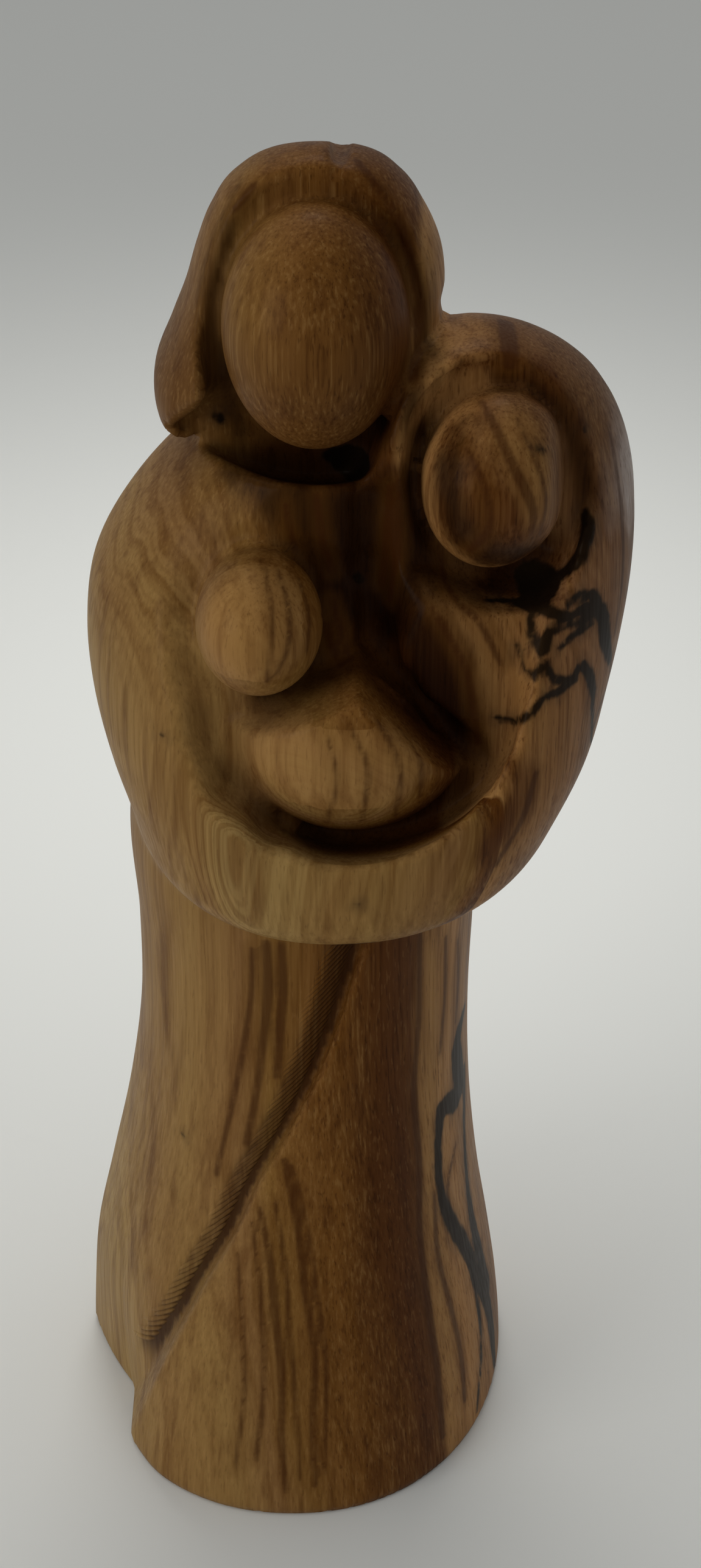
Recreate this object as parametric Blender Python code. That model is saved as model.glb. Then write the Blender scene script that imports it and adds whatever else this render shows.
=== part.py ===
"""Holy family group: two hooded figures with a child in their joined arms, carved from one olive-wood branch.

The carving is one solid. Its form is written as a field: a function that is negative inside the wood and
positive outside it. Rough forms are blended together, hollows and grooves are cut from them, and the
surface of the field is then read off a grid of small cells as a mesh. Lengths in the tables are
millimetres of a carving DESIGN_HEIGHT tall, so they are shares of its height, and the mesh is scaled to HEIGHT.
The figures face -Y, the first one (taller, hooded) stands at -X and the second one at +X.
"""

from itertools import permutations, product

import bmesh
import bpy
import numpy as np

# Driving dimensions, in metres
HEIGHT = 0.166
CELL = 0.00125
MOST_TRIANGLES = 9600

# Height of the carving that the tables below describe, in millimetres
DESIGN_HEIGHT = 166.0

# Stations of the long robe: height, left, right, front and back of the section there
ROBE = (
    (-6.0, -26.8, 26.8, -33.3, 21.0),
    (0.0, -26.8, 26.8, -33.7, 21.0),
    (8.0, -26.4, 26.2, -32.7, 20.6),
    (17.0, -25.6, 25.0, -31.0, 20.0),
    (28.0, -23.3, 23.3, -28.6, 19.0),
    (41.0, -20.5, 22.0, -25.4, 18.0),
    (55.0, -18.6, 21.6, -22.6, 17.6),
    (68.0, -18.4, 22.0, -21.2, 18.0),
    (83.0, -18.9, 22.6, -20.8, 18.0),
    (92.0, -17.0, 21.0, -20.0, 15.0),
    (100.0, -13.0, 17.0, -18.0, 10.0),
)

# Stations of the cloak over both figures' shoulders and arms, up to the second figure's hood
CLOAK = (
    (72.0, -14.0, 22.0, -22.0, 18.0),
    (79.0, -17.0, 26.6, -26.0, 20.0),
    (84.0, -17.7, 29.8, -27.6, 21.0),
    (89.0, -18.9, 32.3, -28.3, 22.0),
    (94.0, -20.5, 34.6, -28.0, 22.8),
    (103.0, -22.4, 36.8, -26.6, 23.6),
    (109.0, -22.7, 37.9, -25.4, 23.8),
    (116.0, -21.6, 38.7, -23.6, 23.2),
    (123.0, -17.9, 38.7, -21.8, 21.6),
    (129.0, -13.2, 38.0, -19.8, 19.0),
    (133.0, -9.2, 36.9, -18.6, 16.4),
    (137.0, -4.6, 35.2, -17.2, 12.4),
    (141.0, 3.0, 32.6, -15.8, 8.0),
    (144.2, 9.0, 29.2, -14.0, 3.4),
    (146.4, 14.5, 25.6, -11.6, -0.6),
    (147.6, 18.5, 22.8, -9.0, -3.4),
)

# Stations of the first figure's hood
HOOD = (
    (126.0, -9.0, 14.0, -13.0, 14.0),
    (133.5, -12.6, 15.4, -15.6, 15.6),
    (136.0, -13.7, 16.0, -15.8, 16.0),
    (139.5, -14.0, 16.6, -15.4, 16.2),
    (144.5, -12.2, 17.0, -14.6, 15.8),
    (149.0, -10.5, 17.2, -13.8, 14.4),
    (154.0, -9.1, 16.7, -12.8, 11.6),
    (158.5, -7.5, 15.0, -11.4, 8.0),
    (162.2, -5.2, 12.8, -10.0, 4.8),
    (164.7, -2.0, 10.0, -8.2, 1.4),
    (166.0, 1.0, 7.0, -6.2, -1.6),
)

# The crossed edge of the robe, where the second figure's skirt laps over the first's: height and x
FOLD = (
    (-6.0, -22.0),
    (0.2, -20.9),
    (9.0, -18.4),
    (16.8, -15.8),
    (24.2, -12.8),
    (31.3, -9.7),
    (37.0, -6.8),
    (45.0, -3.5),
    (52.5, 0.4),
    (59.7, 3.6),
    (68.1, 6.4),
    (76.6, 8.6),
    (84.0, 10.2),
)

# The lip of the first hood's hollow over the chest, 14 mm in front of the middle: x and height
LIP = (
    (-15.0, 141.4),
    (-10.5, 138.4),
    (-6.4, 135.6),
    (-1.3, 133.3),
    (2.1, 132.7),
    (5.5, 132.7),
    (9.7, 133.6),
    (14.0, 136.0),
)

# Which corners of a wedge are inside (1, 2, 4 and 8 added up), and the edges that the surface crosses then
CUTS = {
    1: ((0, 1), (0, 2), (0, 3)),
    2: ((1, 0), (1, 3), (1, 2)),
    4: ((2, 3), (2, 0), (2, 1)),
    8: ((3, 2), (3, 1), (3, 0)),
    3: ((0, 2), (0, 3), (1, 3), (1, 2)),
    5: ((0, 3), (0, 1), (2, 1), (2, 3)),
    9: ((0, 1), (0, 2), (3, 2), (3, 1)),
}


def smooth_min(a, b, radius):
    """Joins two fields with a fillet of about that radius."""
    h = np.clip(0.5 + 0.5 * (b - a) / radius, 0.0, 1.0)
    return b + h * (a - b) - radius * h * (1.0 - h)


def smooth_max(a, b, radius):
    """Keeps what two fields share, with an edge rounded by about that radius."""
    return -smooth_min(-a, -b, radius)


def cut(field, tool, radius):
    """Carves the tool's volume out of the field."""
    return smooth_max(field, -tool, radius)


def through(heights, values, at):
    """A smooth curve through (heights, values), read at the given heights."""
    heights = np.asarray(heights, float)
    values = np.asarray(values, float)
    gaps = np.diff(heights)
    slopes = np.diff(values) / gaps
    turn = np.zeros_like(values)
    turn[1:-1] = (slopes[:-1] * gaps[1:] + slopes[1:] * gaps[:-1]) / (gaps[1:] + gaps[:-1])
    turn[0], turn[-1] = slopes[0], slopes[-1]
    at = np.clip(at, heights[0], heights[-1])
    i = np.clip(np.searchsorted(heights, at) - 1, 0, len(gaps) - 1)
    t = (at - heights[i]) / gaps[i]
    return (
        values[i] * (1 + 2 * t) * (1 - t) ** 2
        + values[i + 1] * t * t * (3 - 2 * t)
        + gaps[i] * t * (1 - t) * (turn[i] * (1 - t) - turn[i + 1] * t)
    )


def loft(p, stations, share, power, top_round=3.0):
    """A body whose level sections are rounded boxes between the stations' left, right, front and back.

    The section is widest at that share of the way from its front to its back.
    """
    x, y, z = p
    heights, left, right, front, back = zip(*stations)
    left, right, front, back = (through(heights, side, z) for side in (left, right, front, back))
    half = (right - left) / 2
    middle = front + share * (back - front)
    across = np.abs(x - (left + right) / 2) / half
    along = np.where(y < middle, (middle - y) / (middle - front), (y - middle) / (back - middle))
    ring = (across**power + np.abs(along) ** power) ** (1 / power) - 1
    depth = np.where(y < middle, middle - front, back - middle)
    sides = ring * np.minimum(half, depth)
    return smooth_max(sides, z - heights[-1], top_round)


def ellipsoid(p, centre, radii, tilt=0.0, nod=0.0):
    """An ellipsoid; tilt leans its top towards +X and nod leans its top towards -Y, in degrees."""
    x, y, z = (a - c for a, c in zip(p, centre))
    t, n = np.radians(tilt), np.radians(nod)
    x, z = x * np.cos(t) - z * np.sin(t), x * np.sin(t) + z * np.cos(t)
    y, z = y * np.cos(n) + z * np.sin(n), -y * np.sin(n) + z * np.cos(n)
    a, b, c = radii
    k0 = np.sqrt((x / a) ** 2 + (y / b) ** 2 + (z / c) ** 2)
    k1 = np.sqrt((x / a**2) ** 2 + (y / b**2) ** 2 + (z / c**2) ** 2)
    return k0 * (k0 - 1.0) / np.maximum(k1, 1e-6)


def capsule(p, start, end, r0, r1):
    """A round bar from start to end whose radius goes from r0 to r1."""
    x, y, z = (a - c for a, c in zip(p, start))
    d = [e - s for s, e in zip(start, end)]
    t = np.clip((x * d[0] + y * d[1] + z * d[2]) / sum(v * v for v in d), 0.0, 1.0)
    return np.sqrt((x - t * d[0]) ** 2 + (y - t * d[1]) ** 2 + (z - t * d[2]) ** 2) - (r0 + t * (r1 - r0))


def chain(p, points, radii, blend=1.0):
    """Capsules through several points, joined smoothly."""
    found = None
    for i in range(len(points) - 1):
        bar = capsule(p, points[i], points[i + 1], radii[i], radii[i + 1])
        found = bar if found is None else smooth_min(found, bar, blend)
    return found


def oval(p, centre, rx, rz, tilt=0.0):
    """Distance to an upright oval in the X-Z plane, as a prism along Y."""
    x, _, z = p
    x, z = x - centre[0], z - centre[1]
    t = np.radians(tilt)
    x, z = x * np.cos(t) - z * np.sin(t), x * np.sin(t) + z * np.cos(t)
    k0 = np.sqrt((x / rx) ** 2 + (z / rz) ** 2)
    k1 = np.sqrt((x / rx**2) ** 2 + (z / rz**2) ** 2)
    return k0 * (k0 - 1.0) / np.maximum(k1, 1e-6)


def step(a, b, value):
    """Goes smoothly from 0 at a to 1 at b."""
    t = np.clip((value - a) / (b - a), 0.0, 1.0)
    return t * t * (3 - 2 * t)


def slab(p, point, facing):
    """Everything behind a plane through the point; facing points out of it."""
    length = np.sqrt(sum(n * n for n in facing))
    return sum((a - c) * n for a, c, n in zip(p, point, facing)) / length


def robe(p):
    x, y, z = p
    body = loft(p, ROBE, share=0.63, power=2.15)
    heights, edge = zip(*FOLD)
    beside = (through(heights, edge, z) - x) * 0.84
    # the first figure's skirt lies lower than the second's, most at the floor, and a channel runs beside the edge
    front = np.clip((1.7 - y) / 12.5, 0.0, 1.0)
    low = np.interp(z, (0, 12, 25, 60, 84), (4.2, 2.8, 1.5, 0.7, 0.6)) * step(26.0, 3.0, beside)
    wide = np.interp(z, (12, 35, 60, 84), (2.0, 3.0, 3.8, 4.0))
    channel = np.interp(z, (6, 20, 60, 84), (0.0, 0.5, 0.9, 0.9)) * step(0.0, 1.0, 1.15 - beside / wide)
    first = body + (low + channel) * front
    # the second skirt ends in a crisp edge that is rounded over toward the floor
    over = np.interp(z, (0, 20, 60), (0.7, 0.4, 0.2)) * step(-5.0, 0.0, beside) ** 2
    second = smooth_max(body + over * front, beside, 0.4)
    return smooth_min(first, second, 0.2) + 0.3 * np.clip(0.9 - z, 0.0, 1.0) ** 2


def cloak(p):
    x, y, z = p
    body = loft(p, CLOAK, share=0.55, power=2.15)
    hem = 79.6 + 0.12 * (y + 28.0)
    return smooth_max(body, hem - z, 5.0)


def over_lip(p):
    """Everything above the lip over the chest, which runs down toward the back."""
    x, y, z = p
    places, heights = zip(*LIP)
    return (through(places, heights, x) - 0.5 * (y + 14.0) - z) * 0.8


def hood(p):
    x, y, z = p
    body = loft(p, HOOD, share=0.5, power=2.35, top_round=2.0)
    body = smooth_max(body, 133.4 - z, 2.0)
    # in front the left side ends above the lip
    body = smooth_max(body, over_lip(p) - 0.3 - 6.0 * step(-8.0, 0.0, y), 1.5)
    # flat facet at the end of the left side
    facet = smooth_max(slab(p, (-9.5, -12.0, 141.6), (0.10, 0.78, 0.62)), x + 7.6, 1.0)
    body = cut(body, facet, 0.4)
    # nick in the top
    return cut(body, capsule(p, (6.2, -8.0, 166.3), (6.2, 8.0, 164.4), 1.1, 1.1), 0.5)


def child(p):
    """The child's head, its wrapped body, and the trough that the body lies in."""
    x, y, _ = p
    head = ellipsoid(p, (-2.6, -18.6, 118.6), (6.8, 7.4, 8.0))
    body = ellipsoid(p, (7.3, -15.8, 105.2), (13.5, 10.6, 13.4))
    under = 0.36 * (y + 28.0) * step(-5.0, 5.0, x)
    trough = smooth_max(oval(p, (7.1, 107.0), 15.0, 13.6) - under, y + 17.0 + 3.0 * step(2.0, -5.0, x), 2.5)
    body = smooth_max(body, slab(p, (-5.7, -22.0, 105.8), (-0.43, -0.04, 0.90)), 0.4)
    body = smooth_max(body, slab(p, (12.7, -21.0, 107.4), (0.74, 0.0, 0.67)), 0.5)
    return head, body, trough


def carving(p):
    """The whole carving's field, in millimetres."""
    x, y, z = p
    at_back = step(0.0, 16.0, y)
    body = smooth_min(robe(p), cloak(p), 1.0 + 9.0 * at_back)
    body = smooth_min(body, hood(p), 0.8 + 3.0 * at_back)
    # parting between the two figures, down the back and over the shoulder
    parting = chain(p, ((18.6, -14.0, 149.6), (18.4, 0.0, 148.2), (15.5, 12.0, 140.0), (12.0, 20.0, 128.0)),
                    (1.6, 1.5, 1.4, 0.6))
    body = cut(body, parting, 1.2)
    # the first chest, the second chest and the valley between them
    chest = smooth_max(oval(p, (2.6, 125.5), 12.6, 17.0), y + 14.6 - 0.03 * (z - 120.0), 2.5)
    body = cut(body, chest, 2.5 + 4.0 * step(3.0, -8.0, x))
    other = smooth_max(slab(p, (27.6, 0.0, 120.0), (0.965, 0.0, -0.26)),
                       slab(p, (9.6, 0.0, 112.5), (-0.737, 0.0, -0.675)), 1.5)
    other = smooth_max(smooth_max(other, 8.5 - x, 1.5), smooth_max(y + 16.6, z - 122.5, 3.0), 2.0)
    body = cut(body, other, 3.0)
    body = smooth_min(body, ellipsoid(p, (18.6, -9.0, 111.5), (8.0, 8.8, 13.0), tilt=-10.0), 2.0)
    valley = chain(p, ((10.0, -15.6, 135.0), (9.6, -14.4, 130.0), (9.2, -13.8, 122.0), (9.9, -13.8, 113.4),
                       (12.4, -14.6, 109.8), (16.3, -15.2, 105.1), (21.9, -18.0, 99.8)),
                   (1.2, 2.2, 2.2, 1.8, 1.4, 1.3, 1.0), 1.5)
    body = cut(body, valley, 2.4)
    lapel = chain(p, ((15.9, -15.0, 148.6), (15.2, -15.4, 144.8), (13.6, -15.8, 142.0), (12.7, -16.0, 139.6),
                      (12.6, -15.8, 136.0), (12.8, -15.4, 131.5), (13.4, -15.6, 126.0)),
                  (0.9, 0.9, 0.9, 0.9, 1.0, 1.0, 0.7))
    body = cut(body, lapel, 1.0)
    crease = chain(p, ((27.2, -19.0, 120.0), (25.4, -19.4, 112.5), (23.5, -19.6, 104.5), (21.8, -19.6, 100.0)),
                   (0.9, 1.0, 1.0, 1.1))
    body = cut(body, crease, 2.0)
    # hollow of the first figure's hood, round the face and under the chin
    scoop = smooth_max(over_lip(p), slab(p, (-10.6, 0.0, 137.4), (-0.77, 0.0, 0.64)), 0.8)
    scoop = smooth_max(scoop, z - 146.0, 1.0)
    around = smooth_min(smooth_max(oval(p, (3.1, 148.2), 11.8, 17.6), 138.0 - z, 1.5), scoop, 1.5)
    around = smooth_max(around, slab(p, (10.1, 0.0, 135.0), (0.951, 0.0, -0.309)), 1.5)
    hollow = smooth_max(around, y + 7.0 + 0.25 * (z - 146.0) * step(146.0, 136.0, z), 2.5)
    body = cut(body, hollow, 0.9)
    # hollow of the second figure's hood, with a shallow slope at its left
    slope = smooth_max(oval(p, (19.8, 133.0), 9.4, 12.4), 12.9 - x, 1.0)
    slope = smooth_max(slope, slab(p, (15.7, 0.0, 144.8), (-0.838, 0.0, 0.546)), 0.6)
    slope = smooth_max(slope, y + np.maximum(13.6 - 0.4 * (x - 12.9), 11.6), 1.0)
    hollow = smooth_max(oval(p, (23.4, 133.0), 10.0, 13.6, tilt=3.0), y + 11.0, 2.0)
    chin = ellipsoid(p, (24.4, -18.6, 123.6), (7.4, 10.6, 5.2), tilt=-8.0)
    hollow = smooth_min(hollow, chin, 2.0)
    body = cut(body, smooth_min(hollow, slope, 1.5), 0.8 + 2.4 * step(134.0, 126.0, z) * step(24.0, 15.0, x))
    # sockets that the child lies in
    head, wrap, trough = child(p)
    arc = smooth_max(ellipsoid(p, (2.0, -17.6, 119.2), (8.4, 5.6, 8.0)), y + 13.0, 1.5)
    body = cut(body, arc, 1.2)
    beside = chain(p, ((-5.0, -17.2, 126.4), (-8.6, -18.6, 123.6), (-10.0, -19.4, 118.5), (-9.0, -20.4, 112.5),
                       (-7.6, -21.8, 106.5), (-5.4, -22.8, 100.5), (-1.0, -22.8, 95.8), (4.0, -21.6, 94.6)),
                   (1.4, 2.0, 2.3, 2.4, 2.3, 1.9, 1.2, 0.6), 2.0)
    body = cut(body, beside, 3.0)
    body = cut(body, trough, 0.4 + 3.0 * step(4.0, -3.0, x))
    body = smooth_min(body, smooth_min(head, wrap, 0.4), 0.4 + 1.6 * step(6.0, -2.0, x))
    # faces
    body = smooth_min(body, ellipsoid(p, (3.5, -9.6, 148.8), (9.75, 9.8, 13.3)), 0.5 + 1.3 * step(7.0, 11.0, x))
    face = ellipsoid(p, (22.4, -13.0, 133.0), (7.8, 8.0, 9.9), tilt=8.0)
    face = smooth_max(face, slab(p, (29.4, -14.0, 133.5), (0.96, -0.24, 0.10)), 1.2)
    return smooth_min(body, face, 0.5)


def surface_of(field, lowest, highest, cell):
    """Points and triangles where the field crosses zero, facing out of the wood.

    Every cube of the grid is split into six four-cornered wedges, and the surface cuts a wedge in one or two
    triangles. Each corner of a triangle lies on an edge between a grid point inside and one outside.
    """
    axes = [np.arange(lo, hi + cell, cell) for lo, hi in zip(lowest, highest)]
    value = field(np.meshgrid(*axes, indexing="ij", sparse=True))
    size = value.shape
    stride = (size[1] * size[2], size[2], 1)
    inside = value < 0
    corners = sum(
        inside[tuple(slice(k, n - 1 + k) for k, n in zip(corner, size))].astype(np.int8)
        for corner in product((0, 1), repeat=3)
    )
    cubes = np.argwhere((corners > 0) & (corners < 8)) @ stride
    inside = inside.ravel()
    found = []
    for order in permutations(range(3)):
        wedge = cubes[:, None] + np.cumsum([0] + [stride[axis] for axis in order])
        code = inside[wedge] @ (1, 2, 4, 8)
        mirrored = order in ((0, 2, 1), (1, 0, 2), (2, 1, 0))
        for which, edges in CUTS.items():
            for held, turned in ((which, mirrored), (15 - which, not mirrored)):
                some = wedge[code == held]
                for three in ((0, 1, 2), (0, 2, 3))[: len(edges) - 2]:
                    pairs = np.stack([some[:, edges[k]] for k in three], axis=1)
                    found.append(pairs[:, ::-1] if turned else pairs)
    pairs = np.sort(np.concatenate(found), axis=2)
    span = sum(stride) + 1
    keys, triangles = np.unique(pairs[..., 0] * span + pairs[..., 1] - pairs[..., 0], return_inverse=True)
    low, high = keys // span, keys // span + keys % span
    value = value.ravel()
    share = np.clip(value[low] / (value[low] - value[high]), 0.04, 0.96)[:, None]
    low, high = (np.stack(np.unravel_index(ends, size), axis=1) for ends in (low, high))
    points = (low + (high - low) * share) * cell + [a[0] for a in axes]
    return points, triangles.reshape(-1, 3)


def mesh_of(name, points, faces):
    mesh = bpy.data.meshes.new(name)
    mesh.from_pydata(points.tolist(), [], faces.tolist())
    mesh.update()
    return mesh


def flat_underside(mesh):
    """Saws the mesh off level at height 0 and closes it with one flat face."""
    bm = bmesh.new()
    bm.from_mesh(mesh)
    sawn = bmesh.ops.bisect_plane(
        bm,
        geom=bm.verts[:] + bm.edges[:] + bm.faces[:],
        dist=1e-7,
        plane_co=(0, 0, 0),
        plane_no=(0, 0, -1),
        clear_outer=True,
    )
    rim = [e for e in sawn["geom_cut"] if isinstance(e, bmesh.types.BMEdge)]
    bmesh.ops.contextual_create(bm, geom=rim)
    bmesh.ops.recalc_face_normals(bm, faces=bm.faces[:])
    bm.to_mesh(mesh)
    bm.free()


def olive_wood():
    material = bpy.data.materials.new("olive_wood")
    material.use_nodes = True
    shader = material.node_tree.nodes["Principled BSDF"]
    shader.inputs["Base Color"].default_value = (0.30, 0.17, 0.065, 1.0)
    shader.inputs["Roughness"].default_value = 0.4
    return material


def make_carving():
    size = HEIGHT / DESIGN_HEIGHT
    cell = CELL / size
    points, faces = surface_of(carving, (-34.0, -40.0, -4.0), (46.0, 32.0, 172.0), cell)
    fine = bpy.data.objects.new("fine", mesh_of("fine", points * size, faces))
    bpy.context.scene.collection.objects.link(fine)
    thin = fine.modifiers.new("fewer faces", "DECIMATE")
    thin.ratio = min(1.0, MOST_TRIANGLES / len(faces))
    bpy.context.view_layer.update()
    graph = bpy.context.evaluated_depsgraph_get()
    mesh = bpy.data.meshes.new_from_object(fine.evaluated_get(graph))
    bpy.data.objects.remove(fine)
    mesh.name = "holy_family"
    flat_underside(mesh)
    group = bpy.data.objects.new("holy_family", mesh)
    group.data.materials.append(olive_wood())
    bpy.context.scene.collection.objects.link(group)
    return group


def main():
    for old in list(bpy.data.objects):
        bpy.data.objects.remove(old)
    bpy.context.scene.unit_settings.system = "METRIC"
    make_carving()


main()
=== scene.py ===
# %% [markdown]
# # A holy family carved from one branch of olive wood
# The real thing is a single piece: a tall hooded figure, a shorter one beside it and a child in their
# joined arms, cut with knife and gouge, sanded and waxed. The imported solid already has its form. This
# lesson lays a finer skin over that solid, cuts the small tool marks, and gives it the wood's figure.

import bpy
import numpy as np
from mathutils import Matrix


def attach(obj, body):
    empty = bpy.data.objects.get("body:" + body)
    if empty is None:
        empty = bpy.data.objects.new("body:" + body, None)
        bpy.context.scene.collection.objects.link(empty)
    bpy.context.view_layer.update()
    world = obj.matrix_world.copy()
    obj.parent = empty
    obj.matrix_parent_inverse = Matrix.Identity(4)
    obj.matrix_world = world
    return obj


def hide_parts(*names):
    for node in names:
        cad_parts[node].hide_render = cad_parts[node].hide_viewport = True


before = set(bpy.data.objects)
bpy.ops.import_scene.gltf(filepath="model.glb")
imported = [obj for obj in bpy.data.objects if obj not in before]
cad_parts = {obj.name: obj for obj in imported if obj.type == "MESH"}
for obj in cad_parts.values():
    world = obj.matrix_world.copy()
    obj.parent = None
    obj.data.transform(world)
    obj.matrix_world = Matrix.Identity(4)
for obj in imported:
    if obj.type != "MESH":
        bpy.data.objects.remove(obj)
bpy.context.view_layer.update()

# %% [markdown]
# ## The form, once more
# A carving is easiest to write as a field: a function that is negative inside the wood and positive
# outside. Bodies are blended together, hollows and grooves are cut from them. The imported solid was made
# from this field on a coarse grid. Here the same field tells every point of a finer skin exactly where the
# wood ends, so the skin keeps the solid's form. Lengths are millimetres.

# %% Sections of the robe, the cloak and the hood
# Each station is height, left, right, front and back.
ROBE = (
    (-6.0, -26.8, 26.8, -33.3, 21.0),
    (0.0, -26.8, 26.8, -33.7, 21.0),
    (8.0, -26.4, 26.2, -32.7, 20.6),
    (17.0, -25.6, 25.0, -31.0, 20.0),
    (28.0, -23.3, 23.3, -28.6, 19.0),
    (41.0, -20.5, 22.0, -25.4, 18.0),
    (55.0, -18.6, 21.6, -22.6, 17.6),
    (68.0, -18.4, 22.0, -21.2, 18.0),
    (83.0, -18.9, 22.6, -20.8, 18.0),
    (92.0, -17.0, 21.0, -20.0, 15.0),
    (100.0, -13.0, 17.0, -18.0, 10.0),
)

CLOAK = (
    (72.0, -14.0, 22.0, -22.0, 18.0),
    (79.0, -17.0, 26.6, -26.0, 20.0),
    (84.0, -17.7, 29.8, -27.6, 21.0),
    (89.0, -18.9, 32.3, -28.3, 22.0),
    (94.0, -20.5, 34.6, -28.0, 22.8),
    (103.0, -22.4, 36.8, -26.6, 23.6),
    (109.0, -22.7, 37.9, -25.4, 23.8),
    (116.0, -21.6, 38.7, -23.6, 23.2),
    (123.0, -17.9, 38.7, -21.8, 21.6),
    (129.0, -13.2, 38.0, -19.8, 19.0),
    (133.0, -9.2, 36.9, -18.6, 16.4),
    (137.0, -4.6, 35.2, -17.2, 12.4),
    (141.0, 3.0, 32.6, -15.8, 8.0),
    (144.2, 9.0, 29.2, -14.0, 3.4),
    (146.4, 14.5, 25.6, -11.6, -0.6),
    (147.6, 18.5, 22.8, -9.0, -3.4),
)

HOOD = (
    (126.0, -9.0, 14.0, -13.0, 14.0),
    (133.5, -12.6, 15.4, -15.6, 15.6),
    (136.0, -13.7, 16.0, -15.8, 16.0),
    (139.5, -14.0, 16.6, -15.4, 16.2),
    (144.5, -12.2, 17.0, -14.6, 15.8),
    (149.0, -10.5, 17.2, -13.8, 14.4),
    (154.0, -9.1, 16.7, -12.8, 11.6),
    (158.5, -7.5, 15.0, -11.4, 8.0),
    (162.2, -5.2, 12.8, -10.0, 4.8),
    (164.7, -2.0, 10.0, -8.2, 1.4),
    (166.0, 1.0, 7.0, -6.2, -1.6),
)

# Where the second skirt laps over the first: height and x
FOLD = (
    (-6.0, -22.0),
    (0.2, -20.9),
    (9.0, -18.4),
    (16.8, -15.8),
    (24.2, -12.8),
    (31.3, -9.7),
    (37.0, -6.8),
    (45.0, -3.5),
    (52.5, 0.4),
    (59.7, 3.6),
    (68.1, 6.4),
    (76.6, 8.6),
    (84.0, 10.2),
)

# The lip over the first figure's chest: x and height
LIP = (
    (-15.0, 141.4),
    (-10.5, 138.4),
    (-6.4, 135.6),
    (-1.3, 133.3),
    (2.1, 132.7),
    (5.5, 132.7),
    (9.7, 133.6),
    (14.0, 136.0),
)

print("stations", len(ROBE), len(CLOAK), len(HOOD), "fold points", len(FOLD))


# %% Ways to join, cut and blend
def smooth_min(a, b, radius):
    """Joins two fields with a fillet of about that radius."""
    h = np.clip(0.5 + 0.5 * (b - a) / radius, 0.0, 1.0)
    return b + h * (a - b) - radius * h * (1.0 - h)


def smooth_max(a, b, radius):
    """Keeps what two fields share, with an edge rounded by about that radius."""
    return -smooth_min(-a, -b, radius)


def cut(field, tool, radius):
    """Carves the tool's volume out of the field."""
    return smooth_max(field, -tool, radius)


def step(a, b, value):
    """Goes smoothly from 0 at a to 1 at b."""
    t = np.clip((value - a) / (b - a), 0.0, 1.0)
    return t * t * (3 - 2 * t)


def through(heights, values, at):
    """A smooth curve through (heights, values), read at the given heights."""
    heights = np.asarray(heights, float)
    values = np.asarray(values, float)
    gaps = np.diff(heights)
    slopes = np.diff(values) / gaps
    turn = np.zeros_like(values)
    turn[1:-1] = (slopes[:-1] * gaps[1:] + slopes[1:] * gaps[:-1]) / (gaps[1:] + gaps[:-1])
    turn[0], turn[-1] = slopes[0], slopes[-1]
    at = np.clip(at, heights[0], heights[-1])
    i = np.clip(np.searchsorted(heights, at) - 1, 0, len(gaps) - 1)
    t = (at - heights[i]) / gaps[i]
    return (
        values[i] * (1 + 2 * t) * (1 - t) ** 2
        + values[i + 1] * t * t * (3 - 2 * t)
        + gaps[i] * t * (1 - t) * (turn[i] * (1 - t) - turn[i + 1] * t)
    )


# %% Forms that the carving is built from
def loft(p, stations, share, power, top_round=3.0):
    """A body whose level sections are rounded boxes between the stations' left, right, front and back.

    The section is widest at that share of the way from its front to its back.
    """
    x, y, z = p
    heights, left, right, front, back = zip(*stations)
    left, right, front, back = (through(heights, side, z) for side in (left, right, front, back))
    half = (right - left) / 2
    middle = front + share * (back - front)
    across = np.abs(x - (left + right) / 2) / half
    along = np.where(y < middle, (middle - y) / (middle - front), (y - middle) / (back - middle))
    ring = (across**power + np.abs(along) ** power) ** (1 / power) - 1
    depth = np.where(y < middle, middle - front, back - middle)
    sides = ring * np.minimum(half, depth)
    return smooth_max(sides, z - heights[-1], top_round)


def ellipsoid(p, centre, radii, tilt=0.0, nod=0.0):
    """An ellipsoid; tilt leans its top towards +X and nod leans its top towards -Y, in degrees."""
    x, y, z = (a - c for a, c in zip(p, centre))
    t, n = np.radians(tilt), np.radians(nod)
    x, z = x * np.cos(t) - z * np.sin(t), x * np.sin(t) + z * np.cos(t)
    y, z = y * np.cos(n) + z * np.sin(n), -y * np.sin(n) + z * np.cos(n)
    a, b, c = radii
    k0 = np.sqrt((x / a) ** 2 + (y / b) ** 2 + (z / c) ** 2)
    k1 = np.sqrt((x / a**2) ** 2 + (y / b**2) ** 2 + (z / c**2) ** 2)
    return k0 * (k0 - 1.0) / np.maximum(k1, 1e-6)


def oval(p, centre, rx, rz, tilt=0.0):
    """Distance to an upright oval in the X-Z plane, as a prism along Y."""
    x, _, z = p
    x, z = x - centre[0], z - centre[1]
    t = np.radians(tilt)
    x, z = x * np.cos(t) - z * np.sin(t), x * np.sin(t) + z * np.cos(t)
    k0 = np.sqrt((x / rx) ** 2 + (z / rz) ** 2)
    k1 = np.sqrt((x / rx**2) ** 2 + (z / rz**2) ** 2)
    return k0 * (k0 - 1.0) / np.maximum(k1, 1e-6)


def capsule(p, start, end, r0, r1):
    """A round bar from start to end whose radius goes from r0 to r1."""
    x, y, z = (a - c for a, c in zip(p, start))
    d = [e - s for s, e in zip(start, end)]
    t = np.clip((x * d[0] + y * d[1] + z * d[2]) / sum(v * v for v in d), 0.0, 1.0)
    return np.sqrt((x - t * d[0]) ** 2 + (y - t * d[1]) ** 2 + (z - t * d[2]) ** 2) - (r0 + t * (r1 - r0))


def chain(p, points, radii, blend=1.0):
    """Capsules through several points, joined smoothly."""
    found = None
    for i in range(len(points) - 1):
        bar = capsule(p, points[i], points[i + 1], radii[i], radii[i + 1])
        found = bar if found is None else smooth_min(found, bar, blend)
    return found


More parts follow.
